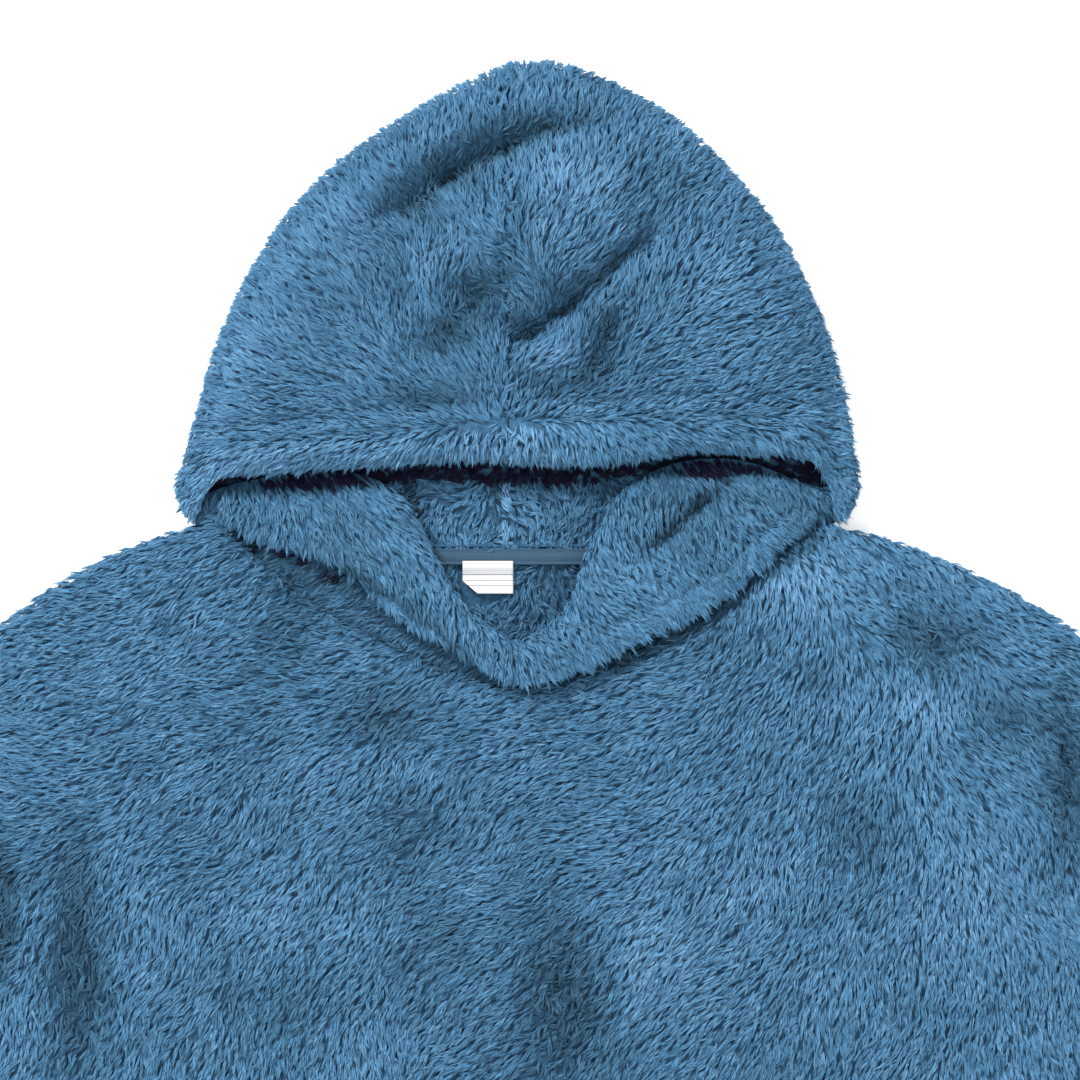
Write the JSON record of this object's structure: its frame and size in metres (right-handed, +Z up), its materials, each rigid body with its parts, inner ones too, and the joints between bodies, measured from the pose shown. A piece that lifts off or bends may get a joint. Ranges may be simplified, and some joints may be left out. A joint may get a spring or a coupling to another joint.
{
  "type": "hooded sweater",
  "caption": "Long-pile plush pullover with a hood, laid flat on its back, the hood opened out above the neck and its fronts turned out over the neckline.",
  "frame": {"origin": "middle of the underside, on the surface that the garment lies on", "axes": "+X to the viewer's right across the shoulders, +Y towards the crown of the hood, +Z up from the surface"},
  "size_m": [1.188, 0.9348, 0.0318],
  "materials": {
    "plush": "long soft pile, matt with a slight sheen",
    "tape": "short pile, matt",
    "label": "white woven tape, satin"
  },
  "bodies": {
    "root": {"body_back": "plush", "body_front": "plush", "sleeve_left": "plush", "sleeve_right": "plush", "hood_left": "plush", "hood_right": "plush", "neck_tape": "tape", "label": "label"}
  },
  "joints": []
}
